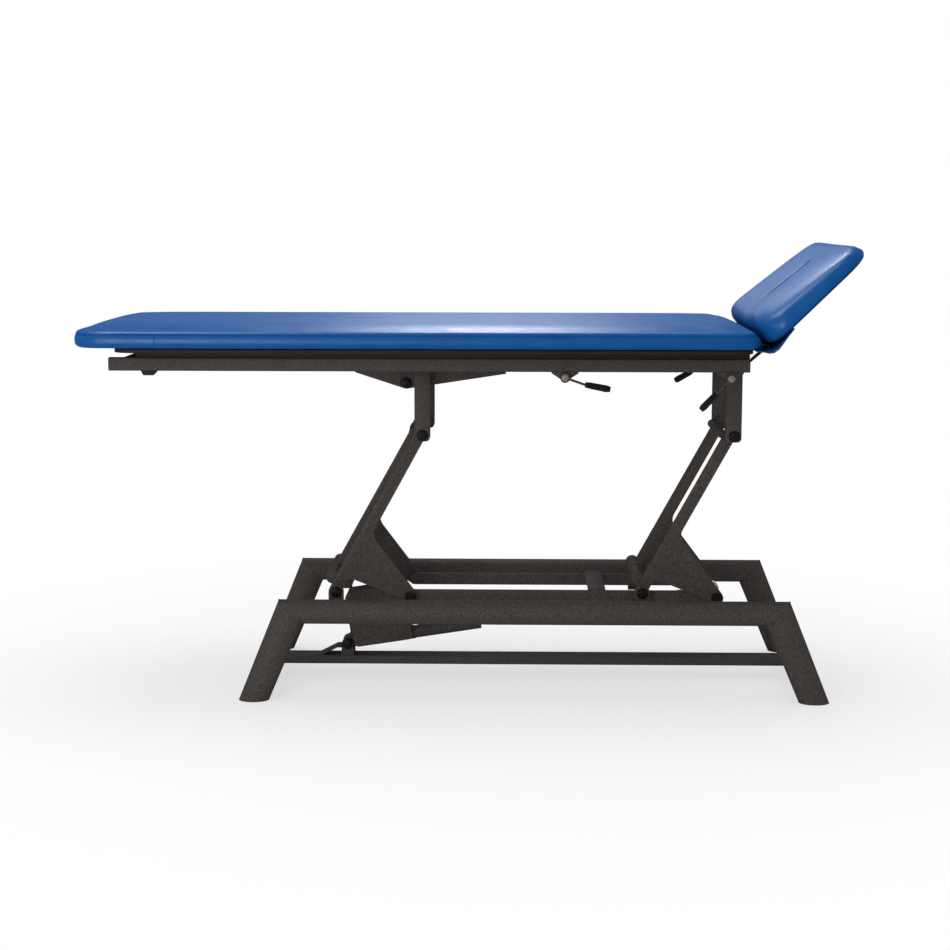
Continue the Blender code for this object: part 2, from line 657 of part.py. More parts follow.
def lever(name, boss, wire, grip_tip, plate_half, side):
    """Release lever on a bracket under a side rail; wire bend and grip tip are measured from its boss."""
    low, high = boss[0] - plate_half, boss[0] + plate_half
    wire_end = add(boss, wire)
    grip_end = add(boss, grip_tip)
    lug_arc = circle(boss, 0.011, 10, 205, 335)
    outline = [(low, FRAME_LOW - GAP), (low, FRAME_LOW - GAP - 0.003)] + lug_arc
    outline = outline + [(high, FRAME_LOW - GAP - 0.003), (high, FRAME_LOW - GAP)]
    hub = -FRAME_Y + 0.003
    bracket = plate(outline, hub, hub + 0.016, bosses=[
        [(hub, circle(boss, 0.005)), (hub - 0.0152, circle(boss, 0.005)),
         (hub - 0.0153, circle(boss, 0.008)), (hub - 0.0183, circle(boss, 0.008))]])
    disc = plate(circle(boss, 0.012), hub - 0.0149, hub - 0.0004, [circle(boss, 0.0053)])
    run = Vector((wire_end[0] - boss[0], wire_end[1] - boss[1])).normalized()
    start = (boss[0] + run.x * 0.009, boss[1] + run.y * 0.009)
    pull = Vector((grip_end[0] - wire_end[0], grip_end[1] - wire_end[1])).normalized()
    stub = (wire_end[0] + pull.x * 0.028, wire_end[1] + pull.y * 0.028)
    depth = hub - 0.0077
    arm = joined(disc, loft(sweep([start, wire_end, stub], [0.003] * 3, 12, depth)))
    length = math.hypot(grip_end[0] - wire_end[0], grip_end[1] - wire_end[1])
    profile = [(0.030, 0.0033), (0.002, 0.0033), (0.002, 0.0055), (0.005, 0.0065), (0.020, 0.0066),
               (length - 0.010, 0.0080), (length - 0.003, 0.0074), (length, 0.0050)]
    rings = []
    for s, radius in profile:
        x = wire_end[0] + pull.x * s
        z = wire_end[1] + pull.y * s
        ring = []
        for k in range(16):
            a = 2 * math.pi * k / 16
            ring.append((x - pull.y * radius * math.cos(a), depth + radius * math.sin(a),
                         z + pull.x * radius * math.cos(a)))
        rings.append(ring)
    grip = loft(rings)
    meshes = [bracket, arm, grip]
    if side > 0:
        meshes = [mirrored(mesh) for mesh in meshes]
    body = axis_of(f"{name}_axis", boss, upper, 0.0, side * abs(depth))
    node(f"{name}_bracket", meshes[0], "frame", upper)
    node(f"{name}_arm", meshes[1], "steel", body)
    node(f"{name}_grip", meshes[2], "rubber", body)


TILT_LEVER = (0.072, FRAME_LOW - 0.013)
HEAD_LEVER = (FRAME_HEAD - 0.046, FRAME_LOW - 0.014)
lever("tilt_lever", TILT_LEVER, (0.046, -0.016), (0.109, -0.028), 0.0325, -1)
lever("head_lever_near", HEAD_LEVER, (-0.034, -0.036), (-0.072, -0.076), 0.031, -1)
lever("head_lever_far", HEAD_LEVER, (-0.042, -0.024), (-0.090, -0.051), 0.031, 1)

# hinge brackets plugged into the head ends of the side rails
KNUCKLE = 0.006
PLUG = 0.0245
mid_y = -FRAME_Y + FRAME_WIDTH / 2
plug = plate(rectangle(-FRAME_Y + FRAME_WALL + GAP, -FRAME_Y + FRAME_WIDTH - FRAME_WALL - GAP,
                       FRAME_LOW + FRAME_WALL + GAP, FRAME_TOP - FRAME_WALL - GAP, 0.002),
             FRAME_HEAD - PLUG, FRAME_HEAD, axis="X")
rail_end = FRAME_HEAD + 0.0008
arm = [(FRAME_HEAD - 0.012, FRAME_TOP - 0.017), (rail_end, FRAME_TOP - 0.008)]
arm = arm + circle(HINGE, KNUCKLE, 12, -45, 180)
arm = arm + [(HINGE[0] - KNUCKLE, HINGE[1] - KNUCKLE), (HINGE[0] - 0.021, HINGE[1] - 0.016),
             (rail_end, FRAME_TOP + 0.001), (rail_end, FRAME_TOP - 0.003),
             (FRAME_HEAD - 0.012, FRAME_TOP - 0.003)]
arm = plate(arm, mid_y - 0.003, mid_y + 0.003, bosses=[
    [(mid_y + 0.003, circle(HINGE, 0.003)), (mid_y + 0.016, circle(HINGE, 0.003))]])
pair("hinge_bracket", joined(plug, arm), "bolt", upper)


def pad_ring(start, end, half, corner, counts):
    """Points round a rectangle with rounded corners, as the border of a grid of cells."""
    rows, columns = counts
    a = (end - start) / 2
    mid = (start + end) / 2
    cells = {}
    for i, s in enumerate(rows):
        for j, t in enumerate(columns):
            x = s * a
            y = t * half
            over_x = abs(x) - (a - corner)
            over_y = abs(y) - (half - corner)
            if over_x > 0 and over_y > 0:
                most = max(over_x, over_y)
                reach_xy = math.hypot(over_x, over_y)
                x = math.copysign(a - corner + over_x * most / reach_xy, x)
                y = math.copysign(half - corner + over_y * most / reach_xy, y)
            cells[i, j] = (mid + x, y, s, t)
    return cells


def cushion(start, end, base, rows, columns, powers, crown, shape):
    """Upholstered pad: drawn-in lower edge, bulging side, creased rim and a crown given at both ends."""
    bm = bmesh.new()
    cells = pad_ring(start, end, PAD_HALF, PAD_CORNER, (rows, columns))
    grid = {}
    for key, (x, y, s, t) in cells.items():
        fall = max(0.0, 1 - abs(s) ** powers[0 if s < 0 else 1]) * max(0.0, 1 - abs(t) ** 6)
        rise = crown[0] + (crown[1] - crown[0]) * (x - start) / (end - start)
        point = Vector((x, y, base + PAD_SIDE + rise * fall ** 0.45))
        grid[key] = bm.verts.new(shape(point))
    for i in range(len(rows) - 1):
        for j in range(len(columns) - 1):
            bm.faces.new((grid[i, j], grid[i + 1, j], grid[i + 1, j + 1], grid[i, j + 1]))
    m, n = len(rows) - 1, len(columns) - 1
    border = [(i, 0) for i in range(m)] + [(m, j) for j in range(n)]
    border = border + [(i, n) for i in range(m, 0, -1)] + [(0, j) for j in range(n, 0, -1)]
    mid = (start + end) / 2
    last = [grid[key] for key in border]
    for height, swell in ((PAD_SIDE - 0.008, 0.003), (0.014, 0.003), (0.004, 0.000), (0.0, -0.010)):
        ring = []
        for key in border:
            x, y, s, t = cells[key]
            out = Vector((x - mid, y)) - Vector((
                math.copysign(max(0.0, min(abs(x - mid), (end - start) / 2 - PAD_CORNER)), x - mid),
                math.copysign(max(0.0, min(abs(y), PAD_HALF - PAD_CORNER)), y)))
            out = out.normalized() * (swell - 0.003)
            point = Vector((x + out.x, y + out.y, base + height))
            ring.append(bm.verts.new(shape(point)))
        bridge(bm, last, ring)
        last = ring
    bm.faces.new(last)
    return to_mesh(bm, "cushion")


def spread(edge, inner):
    """Positions from -1 to 1, close together near both ends."""
    outer = [1 - e for e in edge]
    steps = [outer[-1] * k / inner for k in range(inner)]
    half = steps + outer[::-1]
    return [-v for v in half[:0:-1]] + half


def under_head(point):
    """Main cushion's head end slopes back so that the raised head section has room."""
    limit = HINGE[0] + 0.0075 - math.tan(math.radians(HEAD_TILT)) * (point.z - BOARD_TOP - 0.006)
    return Vector((min(point.x, limit), point.y, point.z))


LONG_ROWS = spread([0.0, 0.004, 0.012, 0.028, 0.055, 0.085], 8)
WIDE_COLUMNS = spread([0.0, 0.012, 0.035, 0.08, 0.15, 0.204], 4)
main = cushion(PAD_FOOT, PAD_HEAD, BOARD_TOP, LONG_ROWS, WIDE_COLUMNS, (24, 24), (PAD_CROWN, PAD_CROWN),
               under_head)
node("main_pad", main, "vinyl", upper)

# head section: board, cushion and hinge bar, flat along +X and tilted by its axis
head = axis_of("head_axis", HINGE, upper, math.radians(HEAD_TILT))


def on_head(points):
    return [(HINGE[0] + u, HINGE[1] + v) for u, v in points]


BAR_TOP = HEAD_BOTTOM - GAP
BAR_LOW = BAR_TOP - 0.0057
head_board_half = FRAME_Y - 0.020
head_board = plate(rectangle(HINGE[0] + HEAD_BAR[1] + GAP, HINGE[0] + HEAD_BOARD_END, -head_board_half,
                             head_board_half, BOARD_CORNER, 8),
                   HINGE[1] + BAR_TOP - BOARD_THICK, HINGE[1] + BAR_TOP, axis="Z")
node("head_board", head_board, "board", head)
bar_y = mid_y + 0.003 + GAP
ear = [(-0.0040, -0.0045), (0.0050, BAR_LOW), (HEAD_BAR[1], BAR_LOW), (HEAD_BAR[1], BAR_TOP),
       (KNUCKLE, BAR_TOP)]
ear = on_head(ear) + circle(HINGE, KNUCKLE, 12, -15, 205)
ear = plate(ear, bar_y, bar_y + 0.0075, [circle(HINGE, 0.0033)])
rail_bar = plate(on_head(rectangle(*HEAD_BAR, BAR_LOW, BAR_TOP)),
                 bar_y + 0.002, -bar_y - 0.002)
node("head_hinge_bar", joined(joined(rail_bar, ear), mirrored(ear)), "bolt", head)


def face_slit(point):
    """Closed face slit: a valley drawn into the crown along the middle of the head cushion."""
    u = point.x - HINGE[0]
    mid = (SLIT[0] + SLIT[1]) / 2
    half = (SLIT[1] - SLIT[0]) / 2
    along = max(0.0, 1 - ((u - mid) / half) ** 4) if abs(u - mid) < half else 0.0
    across = 0.5 * math.exp(-(point.y / 0.012) ** 2) + 0.5 * math.exp(-(point.y / 0.055) ** 2)
    if point.z > HINGE[1] + HEAD_BOTTOM + PAD_SIDE:
        point = point - Vector((0, 0, SLIT_DEPTH * along * across))
    return point


HEAD_ROWS = spread([0.0, 0.02, 0.06, 0.14, 0.26, 0.40], 4)
HEAD_COLUMNS = spread([0.0, 0.012, 0.035, 0.08, 0.15, 0.24], 4)
fine = [-0.075, -0.045, -0.022, 0.0, 0.022, 0.045, 0.075]
HEAD_COLUMNS = [c for c in HEAD_COLUMNS if c < -0.1] + fine + [c for c in HEAD_COLUMNS if c > 0.1]
head_pad = cushion(HINGE[0] + HEAD_START, HINGE[0] + HEAD_END, BOARD_TOP, HEAD_ROWS, HEAD_COLUMNS, (10, 4),
                   HEAD_CROWN, face_slit)
node("head_pad", head_pad, "vinyl", head)

# vinyl flap that closes the gap under the hinge, slotted for the two hinge brackets
FLAP_THICK = 0.002
turn = math.radians(HEAD_TILT)


def tilted(u, v):
    """Side view place of a point of the head section as it stands tilted."""
    along = u * math.cos(turn) - v * math.sin(turn)
    return (HINGE[0] + along, HINGE[1] + u * math.sin(turn) + v * math.cos(turn))


start = [(BOARD_HEAD + 0.0015, BOARD_TOP - GAP), (BOARD_HEAD + 0.0105, BOARD_TOP - GAP),
         add(HINGE, (-0.0105, -0.0060)), add(HINGE, (0.0, -0.0085)), tilted(0.0039, -0.0132)]
board_seat = BAR_TOP - BOARD_THICK - GAP
under_board = start + [tilted(0.0173, -0.0166), tilted(0.0308, -0.0167), tilted(0.045, board_seat),
                       tilted(0.058, board_seat)]
under_pad = start + [tilted(0.0173, -0.0150), tilted(0.0308, -0.0125), tilted(0.050, -0.0085),
                     tilted(0.076, HEAD_BOTTOM - GAP)]
SLOT_HALF = 0.005
slot = (-mid_y - SLOT_HALF, -mid_y + SLOT_HALF)
flap_end = PAD_HALF - 0.018
flap_columns = [(-flap_end, under_pad), (-slot[1], under_pad), (-slot[0], under_board),
                (slot[0], under_board), (slot[1], under_pad), (flap_end, under_pad)]
bm = bmesh.new()
layers = []
for depth in (0.0, FLAP_THICK):
    rows = []
    for i in range(len(under_board)):
        row = []
        for y, line in flap_columns:
            before = line[max(i - 1, 0)]
            after = line[min(i + 1, len(line) - 1)]
            run = Vector((after[0] - before[0], after[1] - before[1])).normalized()
            row.append(bm.verts.new((line[i][0] + run.y * depth, y, line[i][1] - run.x * depth)))
        rows.append(row)
    layers.append(rows)
cells = [(i, j) for i in range(len(under_board) - 1) for j in range(len(flap_columns) - 1)
         if not (j in (1, 3) and i < 4)]
for i, j in cells:
    for rows in layers:
        bm.faces.new((rows[i][j], rows[i + 1][j], rows[i + 1][j + 1], rows[i][j + 1]))
    for (di, dj), (ai, aj), (bi, bj) in (((-1, 0), (0, 0), (0, 1)), ((1, 0), (1, 0), (1, 1)),
                                         ((0, -1), (0, 0), (1, 0)), ((0, 1), (0, 1), (1, 1))):
        if (i + di, j + dj) not in cells:
            first = (i + ai, j + aj)
            second = (i + bi, j + bj)
            bm.faces.new((layers[0][first[0]][first[1]], layers[0][second[0]][second[1]],
                          layers[1][second[0]][second[1]], layers[1][first[0]][first[1]]))
loose = [v for v in bm.verts if not v.link_faces]
bmesh.ops.delete(bm, geom=loose, context="VERTS")
node("hinge_flap", to_mesh(bm, "flap"), "vinyl", upper)

# slide the whole table so that the middle of its box is over the origin
bpy.context.view_layer.update()
low = math.inf
high = -math.inf
for obj in bpy.data.objects:
    if obj.type == "MESH":
        xs = [(obj.matrix_world @ v.co).x for v in obj.data.vertices]
        low = min(low, min(xs))
        high = max(high, max(xs))
for obj in bpy.data.objects:
    if obj.parent is None:
        obj.location.x -= (low + high) / 2
bpy.context.view_layer.update()
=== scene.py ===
import json
import math

import bpy
from mathutils import Matrix, Vector
from mathutils.bvhtree import BVHTree

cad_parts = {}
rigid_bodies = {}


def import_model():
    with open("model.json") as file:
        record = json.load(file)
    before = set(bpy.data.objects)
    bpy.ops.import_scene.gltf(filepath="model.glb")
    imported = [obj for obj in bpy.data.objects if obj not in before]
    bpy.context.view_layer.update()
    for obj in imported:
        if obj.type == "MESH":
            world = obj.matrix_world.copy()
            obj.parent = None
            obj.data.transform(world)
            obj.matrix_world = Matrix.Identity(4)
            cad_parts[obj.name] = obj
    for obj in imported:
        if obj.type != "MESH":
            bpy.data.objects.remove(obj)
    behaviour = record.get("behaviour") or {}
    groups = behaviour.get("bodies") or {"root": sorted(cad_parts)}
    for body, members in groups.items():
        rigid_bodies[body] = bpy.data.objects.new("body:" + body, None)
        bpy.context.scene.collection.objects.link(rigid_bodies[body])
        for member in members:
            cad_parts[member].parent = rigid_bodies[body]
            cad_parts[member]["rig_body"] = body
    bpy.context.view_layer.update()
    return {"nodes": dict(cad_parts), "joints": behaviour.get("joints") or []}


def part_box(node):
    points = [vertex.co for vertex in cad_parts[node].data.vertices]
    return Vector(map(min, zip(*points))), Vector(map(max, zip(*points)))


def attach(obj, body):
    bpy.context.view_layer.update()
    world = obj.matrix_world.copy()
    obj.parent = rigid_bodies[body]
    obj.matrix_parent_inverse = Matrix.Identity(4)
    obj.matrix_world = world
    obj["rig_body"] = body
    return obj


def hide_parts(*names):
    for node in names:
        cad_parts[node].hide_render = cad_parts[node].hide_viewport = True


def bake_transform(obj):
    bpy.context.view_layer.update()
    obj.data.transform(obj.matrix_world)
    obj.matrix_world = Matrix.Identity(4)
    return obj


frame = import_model()

# Studio: a long lens a little above the cushion, a pale floor sheet that runs out to white,
# a large softbox overhead, panels in front and to the left, and five soft lamps that only show as gloss.
photo_side = 950
focal_pixels = 1922.72
sensor_width = 36.0
lens_place = (0.0910, -4.8755, 1.1930)
lens_yaw, lens_pitch, lens_roll = 0.0156, 0.1373, 0.0019
scene = bpy.context.scene
scene.view_settings.view_transform = "Standard"
lens_data = bpy.data.cameras.new("long_lens")
lens_data.sensor_width = sensor_width
lens_data.lens = sensor_width * focal_pixels / photo_side
camera = bpy.data.objects.new("long_lens", lens_data)
scene.collection.objects.link(camera)
camera.matrix_world = (Matrix.Translation(lens_place) @ Matrix.Rotation(lens_yaw, 4, "Z")
                       @ Matrix.Rotation(math.pi / 2 - lens_pitch, 4, "X")
                       @ Matrix.Rotation(lens_roll, 4, "Z"))
scene.camera = camera


def seen_rays(tree):
    """One for camera, glossy and transmission rays, so that the background shows in metal too."""
    rays = tree.nodes.new("ShaderNodeLightPath")
    camera_or_gloss = tree.nodes.new("ShaderNodeMath")
    camera_or_gloss.operation = "MAXIMUM"
    any_seen = tree.nodes.new("ShaderNodeMath")
    any_seen.operation = "MAXIMUM"
    tree.links.new(rays.outputs["Is Camera Ray"], camera_or_gloss.inputs[0])
    tree.links.new(rays.outputs["Is Glossy Ray"], camera_or_gloss.inputs[1])
    tree.links.new(camera_or_gloss.outputs[0], any_seen.inputs[0])
    tree.links.new(rays.outputs["Is Transmission Ray"], any_seen.inputs[1])
    return any_seen.outputs[0]


floor_size, floor_drop = 40, 0.0005
white_from, white_at, white_least = 0.7, 2.0, 0.6
bpy.ops.object.select_all(action="DESELECT")
bpy.ops.mesh.primitive_plane_add(size=floor_size, location=(0, 0, -floor_drop))
floor = bpy.context.active_object
floor.name = "floor_sheet"
paper = bpy.data.materials.new("floor_paper")
paper.use_nodes = True
tree = paper.node_tree
shader = tree.nodes["Principled BSDF"]
shader.inputs["Base Color"].default_value = (0.90, 0.90, 0.90, 1)
shader.inputs["Roughness"].default_value = 0.9
shader.inputs["Specular IOR Level"].default_value = 0.05
away = tree.nodes.new("ShaderNodeVectorMath")
away.operation = "LENGTH"
tree.links.new(tree.nodes.new("ShaderNodeTexCoord").outputs["Object"], away.inputs[0])
fade = tree.nodes.new("ShaderNodeMapRange")
fade.interpolation_type = "SMOOTHSTEP"
fade.inputs["From Min"].default_value = white_from
fade.inputs["From Max"].default_value = white_at
fade.inputs["To Min"].default_value = white_least
tree.links.new(away.outputs["Value"], fade.inputs["Value"])
share = tree.nodes.new("ShaderNodeMath")
share.operation = "MULTIPLY"
tree.links.new(fade.outputs["Result"], share.inputs[0])
tree.links.new(seen_rays(tree), share.inputs[1])
white = tree.nodes.new("ShaderNodeEmission")
mix = tree.nodes.new("ShaderNodeMixShader")
tree.links.new(share.outputs[0], mix.inputs["Fac"])
tree.links.new(shader.outputs["BSDF"], mix.inputs[1])
tree.links.new(white.outputs["Emission"], mix.inputs[2])
tree.links.new(mix.outputs["Shader"], tree.nodes["Material Output"].inputs["Surface"])
floor.data.materials.append(paper)

world_light, world_seen = 0.66, 1.0
world = bpy.data.worlds.new("studio")
scene.world = world
world.use_nodes = True
tree = world.node_tree
level = tree.nodes.new("ShaderNodeMapRange")
level.inputs["To Min"].default_value = world_light
level.inputs["To Max"].default_value = world_seen
tree.nodes["Background"].inputs["Color"].default_value = (1, 1, 1, 1)
tree.links.new(seen_rays(tree), level.inputs["Value"])
tree.links.new(level.outputs["Result"], tree.nodes["Background"].inputs["Strength"])

for name, place, aim, size, watts, fills in (
        ("overhead_softbox", (-0.1, 0.4, 3.4), (-0.1, 0.0, 0.8), (2.6, 1.6), 36, True),
        ("front_panel", (-1.9, -4.0, 1.5), (-0.1, 0.0, 0.7), (1.8, 2.0), 47, True),
        ("left_panel", (-3.6, -0.8, 1.9), (-0.6, 0.0, 0.8), (1.4, 1.8), 12, True),
        ("back_glow", (-0.01, 3.2, 2.0), (0.0, 0.0, 0.9), (1.25, 1.8), 28, False),
        ("back_core", (-0.01, 3.2, 2.0), (0.0, 0.0, 0.9), (0.65, 1.8), 50, False),
        ("high_core", (-0.01, 1.9, 3.2), (0.0, -0.2, 0.9), (0.80, 1.3), 260, False),
        ("edge_glow", (-1.2, -0.5, 3.0), (0.0, -0.3, 0.9), (1.4, 0.8), 200, False),
        ("front_glow", (-1.7, -4.0, 0.48), (-0.5, -0.3, 0.9), (1.8, 0.7), 230, False)):
    bpy.ops.object.light_add(type="AREA", location=place)
    lamp = bpy.context.active_object
    lamp.name = name
    lamp.data.shape = "RECTANGLE" if fills else "ELLIPSE"
    lamp.data.size, lamp.data.size_y = size
    lamp.data.energy = watts
    lamp.visible_camera = False
    lamp.visible_diffuse = fills
    lamp.rotation_euler = (Vector(aim) - Vector(place)).to_track_quat("-Z", "Y").to_euler()

# Base: two oval steel rails and four splayed oval legs, mitred and welded, with a fine textured
# charcoal powder coat. A low weld bead shows all round each mitre.
nodes = frame["nodes"]


def textured(name, roughness, metallic=0.0, specular=0.5, coat=0.0):
    """New node material on object coordinates; returns it with its tree, shader and coordinate socket."""
    material = bpy.data.materials.new(name)
    material.use_nodes = True
    tree = material.node_tree
    shader = tree.nodes["Principled BSDF"]
    shader.inputs["Roughness"].default_value = roughness
    shader.inputs["Metallic"].default_value = metallic
    shader.inputs["Specular IOR Level"].default_value = specular
    shader.inputs["Coat Weight"].default_value = coat
    shader.inputs["Coat Roughness"].default_value = roughness
    place = tree.nodes.new("ShaderNodeTexCoord").outputs["Object"]
    return material, tree, shader, place


def speckle(tree, place, scale, detail):
    """Cloudy noise, about 0.3 to 0.7, finer as the scale rises."""
    texture = tree.nodes.new("ShaderNodeTexNoise")
    texture.inputs["Scale"].default_value = scale
    texture.inputs["Detail"].default_value = detail
    tree.links.new(place, texture.inputs["Vector"])
    return texture.outputs["Fac"]


def ramp(tree, value, stops):
    """Colour ramp with (position, colour) stops."""
    band = tree.nodes.new("ShaderNodeValToRGB")
    while len(band.color_ramp.elements) < len(stops):
        band.color_ramp.elements.new(0.5)
    for element, (position, colour) in zip(band.color_ramp.elements, stops):
        element.position = position
        element.color = (*colour, 1)
    tree.links.new(value, band.inputs["Fac"])
    return band.outputs["Color"]


def spread_of(tree, value, low, high):
    """Value from 0.3 to 0.7 spread out between two levels."""
    scaled = tree.nodes.new("ShaderNodeMapRange")
    scaled.inputs["From Min"].default_value = 0.3
    scaled.inputs["From Max"].default_value = 0.7
    scaled.inputs["To Min"].default_value = low
    scaled.inputs["To Max"].default_value = high
    tree.links.new(value, scaled.inputs["Value"])
    return scaled.outputs["Result"]


def relief(tree, shader, height, strength, depth):
    """Fine unevenness of the surface from a value."""
    bump = tree.nodes.new("ShaderNodeBump")
    bump.inputs["Strength"].default_value = strength
    bump.inputs["Distance"].default_value = depth
    tree.links.new(height, bump.inputs["Height"])
    tree.links.new(bump.outputs["Normal"], shader.inputs["Normal"])
    return bump


charcoal, tree, shader, place = textured("charcoal_powder_coat", 0.5, specular=0.0, coat=0.03)
tree.links.new(ramp(tree, speckle(tree, place, 330, 5), [
    (0.30, (0.036, 0.031, 0.029)), (0.50, (0.058, 0.051, 0.048)), (0.70, (0.088, 0.079, 0.074))]),
    shader.inputs["Base Color"])
tree.links.new(spread_of(tree, speckle(tree, place, 18, 3), 0.46, 0.56), shader.inputs["Coat Roughness"])
relief(tree, shader, speckle(tree, place, 1100, 2), strength=0.15, depth=0.0002)
merge_within = 0.00002
flat_within = math.radians(0.5)


def merged_copy(node, name):
    """Copy of a solid as a new piece, alone in edit mode, all selected, with its loose triangles merged."""
    piece = bpy.data.objects.new(name, nodes[node].data.copy())
    scene.collection.objects.link(piece)
    bpy.ops.object.select_all(action="DESELECT")
    piece.select_set(True)
    bpy.context.view_layer.objects.active = piece
    bpy.ops.object.mode_set(mode="EDIT")
    bpy.ops.mesh.select_all(action="SELECT")
    bpy.ops.mesh.remove_doubles(threshold=merge_within)
    return piece


def finished_copy(node, material, edge=0.0, angle=32):
    """Finished piece in place of a solid: its flat faces cleaned, its edges eased, shaded by angle."""
    piece = merged_copy(node, f"{node}_finished")
    bpy.ops.mesh.dissolve_limited(angle_limit=flat_within)
    bpy.ops.object.mode_set(mode="OBJECT")
    if edge:
        ease = piece.modifiers.new("eased_edges", "BEVEL")
        ease.width = edge
        ease.segments = 2
        ease.limit_method = "ANGLE"
        ease.angle_limit = math.radians(angle)
        ease.use_clamp_overlap = True
        bpy.ops.object.modifier_apply(modifier=ease.name)
    bpy.ops.object.shade_smooth_by_angle(angle=math.radians(angle))
    piece.data.materials.clear()
    piece.data.materials.append(material)
    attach(piece, nodes[node]["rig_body"])
    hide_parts(node)


def placed_copy(master, name, place):
    """Copy of a piece that was modelled once, with its own mesh, moved to its place."""
    piece = bpy.data.objects.new(name, master.data.copy())
    scene.collection.objects.link(piece)
    piece.data.transform(place)
    return piece


for node in ("base_rail_near", "base_rail_far", "leg_near_left", "leg_near_right", "leg_far_left",
             "leg_far_right"):
    finished_copy(node, charcoal, angle=40)
mitre_back, mitre_rise = 0.0275, 0.02975
mitre_tilt = math.atan2(mitre_rise, mitre_back)
bead_long, bead_wide, bead_thick = 0.0406, 0.0301, 0.0011
bpy.ops.object.select_all(action="DESELECT")
bpy.ops.curve.primitive_bezier_circle_add(radius=1)
bead_master = bpy.context.active_object
bead_master.scale = (bead_long, bead_wide, 1)
bpy.ops.object.transform_apply(location=True, rotation=True, scale=True)
bead_master.data.bevel_depth = bead_thick
bead_master.data.bevel_resolution = 2
bead_master.data.resolution_u = 16
bpy.ops.object.convert(target="MESH")
bpy.ops.object.shade_smooth()
bead_master.data.materials.append(charcoal)
rail_low, rail_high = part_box("base_rail_near")
rail_middle = (rail_low + rail_high) / 2
for side, mitre_x, tilt in (("right", rail_high.x - mitre_back, -mitre_tilt),
                            ("left", rail_low.x + mitre_back, mitre_tilt)):
    for word, middle in (("near", rail_middle.y), ("far", -rail_middle.y)):
        mitre = Matrix.Translation((mitre_x, middle, rail_middle.z))
        bead = placed_copy(bead_master, f"weld_bead_{word}_{side}", mitre @ Matrix.Rotation(tilt, 4, "Y"))
        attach(bead, "base")
bpy.data.objects.remove(bead_master)

# Stretchers and spine: flat steel tubes low between the feet, welded on, same coat.
# The spine carries the actuator, so it runs the whole length between the end bars.
for node in ("end_crossbar_left", "end_crossbar_right", "spine_bar"):
    finished_copy(node, charcoal, angle=40)

# Pivot brackets, clevis and its strap: laser-cut ears with weld tabs and a bent flat strap that
# takes the actuator's thrust, all welded on and coated with the base.
for node in ("pivot_bracket_near_left", "pivot_bracket_near_right", "pivot_bracket_far_left",
             "pivot_bracket_far_right", "actuator_clevis", "clevis_brace"):
    finished_copy(node, charcoal, edge=0.0008)

# Lifting arms, crossframes and tie bars: arms and ties flame-cut from thick plate with eased edges,
# crossframes of round tube with a brace strip between, welded and coated.
for node in ("arm_left_near", "arm_left_far", "arm_right_near", "arm_right_far", "arm_left_crossframe",
             "arm_right_crossframe", "tie_bar_near", "tie_bar_far", "tie_spacer"):
    finished_copy(node, charcoal, edge=0.0010)

# Bolts at every pivot, at the clevis and on the wedge brackets: black oxide hexagon heads on plain
# washers, each left at its own turn when it was tightened. The crank shaft is of the same steel.


def two_tone(tree, shader, value, dark, pale, low=0.3, high=0.7):
    """Base colour that goes from a dark to a pale tone as a value rises."""
    tree.links.new(ramp(tree, value, [(low, dark), (high, pale)]), shader.inputs["Base Color"])


def eased_disc(sides, radius, depth, centre, ease):
    """Disc or prism about the z axis with its edges eased, alone in object mode."""
    bpy.ops.object.select_all(action="DESELECT")
    bpy.ops.mesh.primitive_cylinder_add(vertices=sides, radius=radius, depth=depth, location=(0, 0, centre))
    disc = bpy.context.active_object
    bpy.ops.object.transform_apply(location=True, rotation=True, scale=True)
    bpy.ops.object.mode_set(mode="EDIT")
    bpy.ops.mesh.select_all(action="SELECT")
    bpy.ops.mesh.bevel(offset=ease, segments=2, affect="EDGES")
    bpy.ops.object.mode_set(mode="OBJECT")
    return disc


black_oxide, tree, shader, place = textured("black_oxide", 0.46, specular=0.03)
two_tone(tree, shader, speckle(tree, place, 300, 3), (0.0055, 0.0052, 0.005), (0.0125, 0.0120, 0.0115))
tree.links.new(spread_of(tree, speckle(tree, place, 90, 2), 0.40, 0.54), shader.inputs["Roughness"])
relief(tree, shader, speckle(tree, place, 1500, 2), strength=0.15, depth=0.0002)
hexagon_radius, hexagon_high = 0.0130, 0.0080
washer_radius, washer_thick = 0.0142, 0.0016
turned_angle = math.radians(35)
bolt_master = eased_disc(6, hexagon_radius, hexagon_high, centre=washer_thick + hexagon_high / 2, ease=0.0012)
bpy.ops.object.mode_set(mode="EDIT")
bpy.ops.mesh.select_all(action="DESELECT")
bpy.ops.mesh.primitive_cylinder_add(vertices=40, radius=washer_radius, depth=washer_thick,
                                    location=(0, 0, washer_thick / 2))
bpy.ops.mesh.bevel(offset=0.0004, segments=1, affect="EDGES")
bpy.ops.object.mode_set(mode="OBJECT")
bpy.ops.object.shade_smooth_by_angle(angle=turned_angle)
bolt_master.data.materials.append(black_oxide)
joint_at = {joint["name"]: Vector(joint["pos_m"]) for joint in frame["joints"]}
lift_at = joint_at["table_lift"]
right_at = joint_at["arm_right_swing"]
level_at = joint_at["frame_level"]
wedge_bolt_at = level_at + Vector((-0.0417, 0, 0.1265))
ear_face, post_face, crank_face, clevis_face, wedge_face = 0.1400, 0.1700, 0.1316, 0.0300, 0.1317
